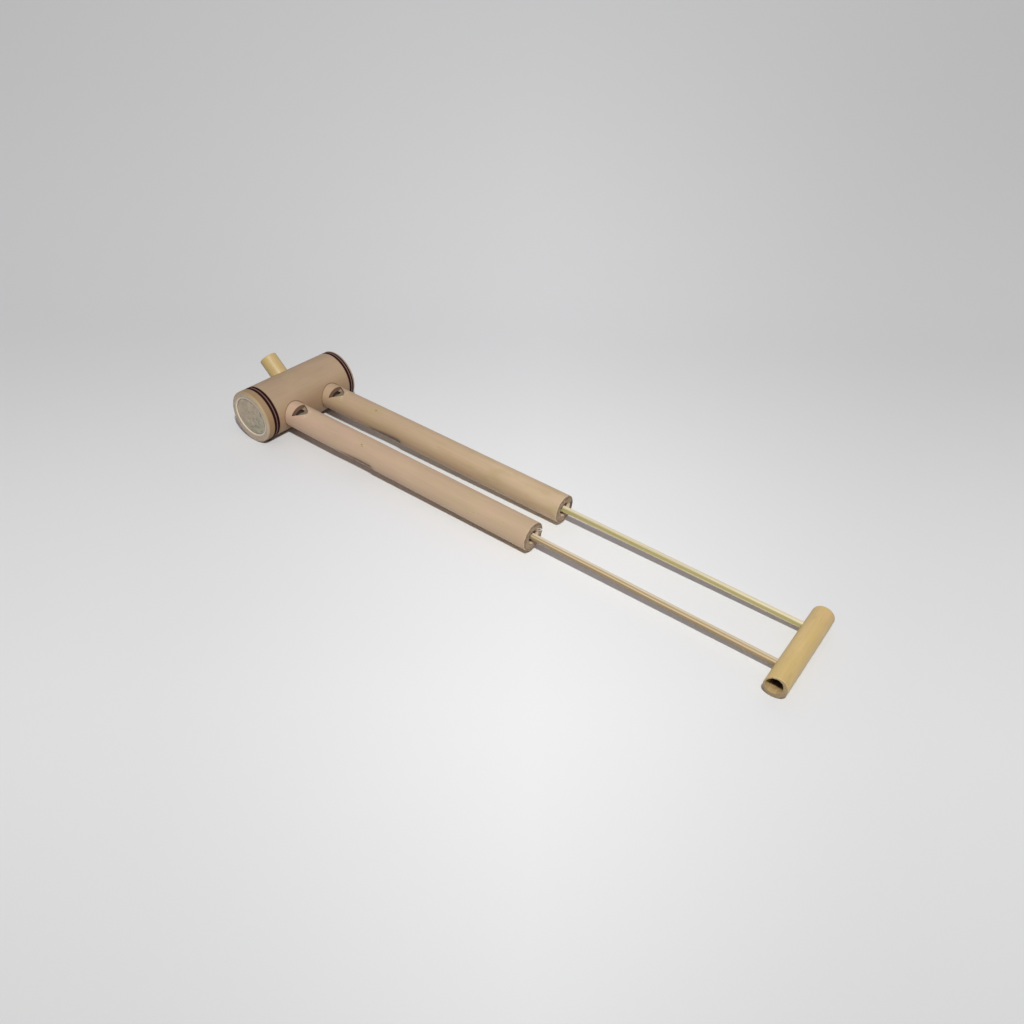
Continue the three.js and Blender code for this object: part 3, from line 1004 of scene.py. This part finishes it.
def rod_material(side):
    """Pale split bamboo with coloured bands, given as (middle, half width) in degrees from the top. The
    near stick's lowest band is partly painted shade, and the far stick's pale lower line partly a
    painted highlight.
    """
    painter = Painter(f"split_bamboo_{side}", LANES[side], 101 if side == "near" else 111)
    if side == "near":
        light, dark = (228, 214, 192), (208, 190, 154)
        bands = (
            (29, 9, (160, 134, 92)),
            (48, 10, (200, 176, 134)),
            (70, 7, (152, 122, 84)),
            # the lowest band is partly the stick's own olive-brown and partly painted shade on its
            # underside
            (104, 28, (142, 122, 88)),
        )
    else:
        light, dark = (230, 218, 192), (212, 200, 156)
        bands = (
            (64, 25, (162, 152, 92)),
            # a pale line along the lower edge, partly pale inner wall and partly a painted highlight
            (104, 11, (216, 198, 152)),
            (170, 30, (172, 158, 104)),
        )
    stripes = painter.noise(0.75, 160, 0, detail=2).step(0.36, 0.64)
    painter.paint = painter.mix(stripes * 0.7, light, dark)
    drift = (painter.noise(6, 55, 5, detail=1) - 0.5) * 0.5
    for middle, half_width, tone in bands:
        band = (painter.angle + drift).band(math.radians(middle), math.radians(half_width), 0.16)
        painter.lay(band * 0.85, tone)
    lines = painter.noise(0.35, 120, 1, detail=3).step(0.58, 0.68)
    painter.lay(lines * 0.45, (140, 116, 68))
    painter.lay(painter.noise(2.2, 30, 2, detail=2).step(0.5, 0.75) * 0.15, (206, 164, 124))
    painter.lay(painter.cells(1.1, 6, 6).step(0.16, 0.08) * 0.45, (122, 88, 58))
    threads = fibres(painter, 3)
    painter.brighten(threads * 0.18 + 1)
    return painter.finish(painter.noise(1, 20, 4) * 0.2 + 0.42, threads * 0.05 - lines * 0.04)


# ---- pistons

def piston_mesh(side):
    start, end = ends_of(f"{side}_piston")
    outer = PIPE_BORE - PISTON_CLEARANCE
    inner = ROD_RADIUS + 0.02

    def wound(along, radius, angle):
        """A thread wrapped in close turns around the stick."""
        turns = (along - start) / 0.9 + angle / (2 * math.pi)
        groove = abs(math.sin(math.pi * turns))
        outside = smooth(radius, outer - 0.6, outer - 0.3)
        return along, radius - outside * 0.22 * (1 - math.sqrt(groove))

    points = outline([
        (start, inner, 0, 0.6), (start, outer, 0.5, 0.09), (end, outer, 0.5, 0.6), (end, inner, 0, 2),
    ])
    return revolve(f"{side}_stopper", LANES[side], points, 72, wound, sharp_angle=60)


def piston_material(side):
    painter = Painter(f"piston_thread_{side}", LANES[side], 121 if side == "near" else 125)
    fuzz = painter.noise(0.35, 0.12, 0, detail=4, rough=0.65)
    painter.paint = painter.mix(fuzz.step(0.3, 0.7), (58, 48, 42), (34, 28, 26))
    wax = painter.noise(1.6, 2.4, 1).step(0.5, 0.7)
    painter.lay(wax * 0.3, (92, 74, 52))
    return painter.finish(fuzz * 0.2 + 0.68, fuzz * 0.08)


# ---- handle and blowpipe

def handle_mesh():
    near = -handle_length / 2
    far = handle_length / 2

    def shape(along, radius, angle):
        outside = smooth(radius, handle_radius - 0.9, handle_radius - 0.4)
        inside = 1 - smooth(radius, HANDLE_BORE, handle_radius - 0.7)
        at_end = smooth(abs(along), far - 1.6, far)
        radius += inside * (off_centre(radius, angle, HANDLE_BORE_SHIFT) - radius)
        wave = 0.5 + 0.5 * waviness(along, angle, 0.8, 24, 9)
        radius -= outside * 0.12 * wave
        radius += inside * 0.12 * waviness(along, angle, 0.4, 9, 10)
        radius += inside * at_end * 0.3 * waviness(0, angle, 0.2, 5, 12)
        uneven = 0.1 * (1 + waviness(0, angle, 0.9, 5, 13))
        if along < 0:
            # the near end is sawn slightly askew
            share = smooth(along, near + 12, near)
            along += share * (0.95 + 0.4 * math.cos(angle) + 0.5 * math.sin(angle) + uneven)
        else:
            along -= at_end * uneven
        return along, radius

    points = outline([
        (near, HANDLE_BORE, 0.15, 0.6), (near, handle_radius, 0.5, 0.6), (far, handle_radius, 0.8, 0.6),
        (far, HANDLE_BORE, 0.15, 1.2),
    ])
    handle = revolve("crossbar", handle_axis, points, 108, shape)
    cutters = []
    middle = distance_along(handle_middle.x)
    for side, axis in LANES.items():
        start = middle - handle_radius - 2
        cutters.append(drill(f"{side}_rod_hole", axis, start, middle - 0.5, ROD_RADIUS + 0.1, 48))
    cut(handle, cutters)
    return handle


def blowpipe_mesh():
    def shape(along, radius, angle):
        outside = smooth(radius, blow_radius - 1.2, blow_radius - 0.6)
        wave = 0.5 + 0.5 * waviness(along, angle, 0.8, 14, 14)
        radius -= outside * 0.1 * wave
        if radius < BLOWPIPE_BORE + 0.5:
            radius += 0.14 * waviness(along, angle, 0.4, 6, 15)
        along -= smooth(along, blow_tip - 1, blow_tip) * 0.1 * (1 + waviness(0, angle, 0.8, 5, 16))
        return along, radius

    points = outline([
        (BLOWPIPE_ROOT, BLOWPIPE_BORE, 0.1, 0.6), (BLOWPIPE_ROOT, blow_radius, 0.3, 0.5),
        (blow_tip, blow_radius, 0.55, 0.5), (blow_tip, BLOWPIPE_BORE, 0.35, 1.0),
    ])
    return revolve("mouth_tube", blow_axis, points, 96, shape)


def golden_material(name, axis, ends, tone, seed):
    painter = Painter(name, axis, seed)
    height = bamboo_skin(painter, (208, 180, 124), (194, 166, 108), (214, 180, 134), (200, 173, 110))
    green = painter.noise(3, 16, 11, detail=2).step(0.5, 0.7)
    painter.lay(green * 0.2, (188, 166, 104))
    bruise = painter.noise(2.2, 11, 14, detail=2).step(0.56, 0.74)
    painter.lay(bruise * 0.35, (172, 138, 92))
    painter.brighten(tone)
    wood, wood_height = bamboo_wood(painter, (186, 162, 122), (158, 134, 98))
    rim = painter.end_on.step(0.5, 0.8)
    wood = painter.mix(painter.top.step(2.5, -3.5) * 0.6, wood, (140, 120, 98))
    painter.lay(rim, wood)
    inside = painter.outward.step(-0.3, -0.6)
    lining = painter.mix(painter.noise(0.8, 10, 12, detail=3), (198, 172, 122), (172, 140, 94))
    # painted shade: the lining darkens deeper in from each end, along a ragged line
    torn = (painter.noise(0.7, 2.5, 15, detail=3) - 0.5) * 7
    place = painter.along + torn
    shade_deeper_in = place.step(ends[0] + 2, ends[0] + 9) * place.step(ends[1] - 2, ends[1] - 9)
    lining = painter.mix(shade_deeper_in * 0.9, lining, (66, 42, 34))
    painter.lay(inside, lining)
    edge = painter.end_on.band(0.45, 0.15, 0.2) * painter.outward.step(0.3, 0.6)
    painter.lay(edge * 0.4, (222, 200, 156))
    height = blend(height, wood_height, rim)
    roughness = painter.noise(3, 10, 13) * 0.16 + 0.36
    roughness = blend(roughness, 0.75, most(rim, inside))
    return painter.finish(roughness, height, coat=0.12)


# ---- assembly

def install(piece, body, node, material):
    """Gives a piece its material and lets it stand for its CAD node."""
    piece.data.materials.clear()
    piece.data.materials.append(material)
    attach(piece, body)
    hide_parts(node)


def build_whistle():
    install(chamber_mesh(), "whistle_body", "wind_chamber", chamber_material())
    for side, outward, seed in (("near", -1, 131), ("far", 1, 141)):
        disc, axis = disc_mesh(f"{side}_end_disc", f"{side}_end_plug", outward)
        material = disc_material(f"plug_fibre_{side}", axis, seed)
        install(disc, "whistle_body", f"{side}_end_plug", material)
    look = golden_material("golden_bamboo_blowpipe", blow_axis, (BLOWPIPE_ROOT, blow_tip), 0.87, 151)
    install(blowpipe_mesh(), "whistle_body", "blowpipe", look)
    for side in ("near", "far"):
        for body, node, slot, mesh, material in (
            ("whistle_body", "pipe", "shaved_bamboo", pipe_mesh, pipe_material),
            ("whistle_body", "fipple_block", "block_wood", block_mesh, block_material),
            ("slide", "rod", "split_bamboo", rod_mesh, rod_material),
            ("slide", "piston", "piston_rubber", piston_mesh, piston_material),
        ):
            install(mesh(side), body, f"{side}_{node}", material(side))
    ends = (-handle_length / 2, handle_length / 2)
    look = golden_material("golden_bamboo_handle", handle_axis, ends, 1.06, 171)
    install(handle_mesh(), "slide", "handle", look)


# ---- floor, light and camera

CAMERA_PLACE = Vector((233.64, -305.67, 305.81)) * MM
CAMERA_TARGET = Vector((20.23, -6.13, 17.5)) * MM
CAMERA_ROLL = math.radians(3.147)
CAMERA_LENS = 29.14

SWEEP_START = 620.0  # distance from below the camera at which the sheet starts to curve up
SWEEP_RADIUS = 800.0
SWEEP_TURN = math.radians(75)
FLOOR_REACH = 2600.0

KEY_PLACE = Vector((262, -310, 590)) * MM
KEY_RADIUS = 0.02
KEY_POWER = 33.6
KEY_TONE = (0.965, 1.0, 0.985)
FILL_LEVEL = 0.385
FILL_TONE = (1.0, 0.87, 0.92, 1.0)


def rest_tilt():
    """Angle of the plane that touches the undersides of the chamber and the handle."""
    ahead = (handle_middle.x - chamber_middle.x) / MM
    up = (handle_middle.z - chamber_middle.z) / MM
    return math.atan2(up, ahead) + math.asin((chamber_radius - handle_radius) / math.hypot(ahead, up))


def floor_axis():
    """From the place below the camera along its view, with the sheet's upward direction as its top."""
    tilt = rest_tilt()
    up = Vector((-math.sin(tilt), 0, math.cos(tilt)))
    contact = chamber_middle - up * chamber_radius * MM
    below = CAMERA_PLACE - up * (CAMERA_PLACE - contact).dot(up)
    view = CAMERA_TARGET - CAMERA_PLACE
    ahead = view - up * view.dot(up)
    return Axis(below, ahead, up)


def sweep_profile():
    """(ahead, height) places along the sheet: flat, then an arc, then straight on."""
    places = [(-FLOOR_REACH / 2, 0.0), (0.0, 0.0), (SWEEP_START, 0.0)]
    steps = 30
    for step in range(1, steps + 1):
        turn = SWEEP_TURN * step / steps
        ahead = SWEEP_START + SWEEP_RADIUS * math.sin(turn)
        places.append((ahead, SWEEP_RADIUS * (1 - math.cos(turn))))
    ahead, height = places[-1]
    rise = 900.0
    places.append((ahead + rise * math.cos(SWEEP_TURN), height + rise * math.sin(SWEEP_TURN)))
    return places


def floor_mesh(axis):
    mesh_data = bmesh.new()
    rows = []
    for ahead, height in sweep_profile():
        edges = [axis.point(ahead, height, 0, across) for across in (-FLOOR_REACH, FLOOR_REACH)]
        rows.append([mesh_data.verts.new(edge) for edge in edges])
    for first, second in zip(rows, rows[1:]):
        mesh_data.faces.new((first[0], first[1], second[1], second[0]))
    return mesh_object("floor_sheet", mesh_data, 60)


def floor():
    """A pale paper sheet under the whistle that curves up behind it, with painted shade that darkens it
    near the camera, far back and towards the sides.
    """
    axis = floor_axis()
    sheet = floor_mesh(axis)
    painter = Painter("floor_paper", axis, 201)
    cloud = painter.noise(120, 120, 0, detail=2)
    painter.paint = painter.mix(cloud, (240, 240, 241), (237, 237, 238))
    # painted shade on the sheet: darker near the camera, farther back and towards both sides
    shade_near_camera = painter.along.step(260, 20)
    painter.lay(shade_near_camera * 0.55, (180, 180, 178))
    shade_farther = painter.along.step(330, 620)
    painter.lay(shade_farther * 0.4, (204, 204, 206))
    shade_farthest = painter.along.step(600, 1500)
    painter.lay(shade_farthest * 0.95, (182, 182, 183))
    sideways = painter.side / (painter.along.math("MAXIMUM", 0) * 0.787 + 188)
    shade_left = sideways.step(0.12, -0.46) * 0.34
    shade_right = sideways.step(-0.05, 0.5) * (shade_farthest * 0.4 + 0.38)
    painter.lay(most(shade_left, shade_right), (190, 190, 190))
    sheet.data.materials.append(painter.finish(0.85, painter.noise(0.6, 0.6, 1) * 0.02))


def even_falloff(lamp):
    """Makes a near lamp as strong far away as close by, like a broad light."""
    lamp.use_nodes = True
    falloff = add_node(lamp.node_tree, "ShaderNodeLightFalloff", "Constant", {"Strength": 1.0})
    put(falloff, lamp.node_tree.nodes["Emission"].inputs["Strength"])


def fill_world():
    """A soft fill that is strongest from straight above and fades towards the horizon."""
    world = bpy.data.worlds.new("soft_fill")
    world.use_nodes = True
    tree = world.node_tree
    background = tree.nodes["Background"]
    put(FILL_TONE, background.inputs["Color"])
    direction = add_node(tree, "ShaderNodeTexCoord", "Generated", {})
    upward = add_node(tree, "ShaderNodeSeparateXYZ", "Z", {0: direction}).math("MAXIMUM", 0.0)
    put(upward.math("POWER", 1.5) * FILL_LEVEL + FILL_LEVEL * 0.06, background.inputs["Strength"])
    return world


def lights():
    lamp = bpy.data.lights.new("key_light", "POINT")
    lamp.shadow_soft_size = KEY_RADIUS
    lamp.energy = KEY_POWER
    lamp.color = KEY_TONE
    even_falloff(lamp)
    key = bpy.data.objects.new("key_light", lamp)
    key.location = KEY_PLACE
    bpy.context.scene.collection.objects.link(key)
    bpy.context.scene.world = fill_world()
    bpy.context.scene.view_settings.view_transform = "Standard"


def camera():
    lens = bpy.data.cameras.new("camera")
    lens.lens = CAMERA_LENS
    lens.sensor_width = 36
    lens.clip_start = 0.01
    view = bpy.data.objects.new("camera", lens)
    view.location = CAMERA_PLACE
    bpy.context.scene.collection.objects.link(view)
    look = (CAMERA_TARGET - CAMERA_PLACE).to_track_quat("-Z", "Y").to_matrix().to_4x4()
    view.rotation_euler = (look @ Matrix.Rotation(CAMERA_ROLL, 4, "Z")).to_euler()
    bpy.context.scene.camera = view


build_whistle()
floor()
lights()
camera()
